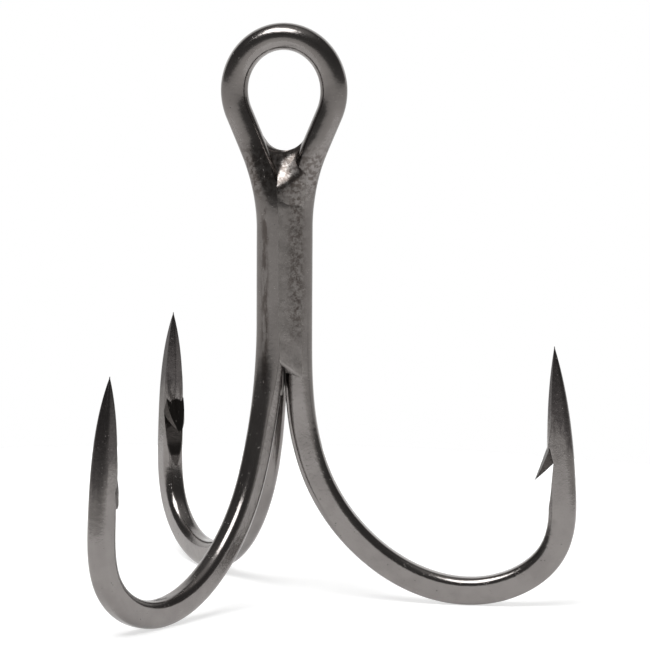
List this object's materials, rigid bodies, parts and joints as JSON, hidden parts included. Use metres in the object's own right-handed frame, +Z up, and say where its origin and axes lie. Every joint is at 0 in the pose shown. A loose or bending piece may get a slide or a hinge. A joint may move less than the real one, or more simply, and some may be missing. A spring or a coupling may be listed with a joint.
{
  "type": "treble hook",
  "caption": "Treble fishing hook: a double hook bent from one wire with a teardrop eye at the top, and a single hook brazed behind it, each with a forged bend, barb and ground point.",
  "frame": {"origin": "centre of the eye's round top, in the middle of its wire", "axes": "+Z up the shank towards the eye's crown, +Y through the eye's hole, +X across the eye towards the right hook, which lies in the eye's plane"},
  "size_m": [0.0344, 0.0398, 0.0439],
  "materials": {
    "hook_wire": "glossy black nickel plating over hardened steel wire",
    "braze": "black nickel plating over braze metal, slightly rough and pitted"
  },
  "bodies": {
    "root": {"double_hook_wire": "hook_wire", "single_hook_wire": "hook_wire", "braze_front_fillet": "braze", "braze_left_fillet": "braze", "braze_right_fillet": "braze", "braze_core": "braze", "braze_throat_saddle": "braze"}
  },
  "joints": []
}
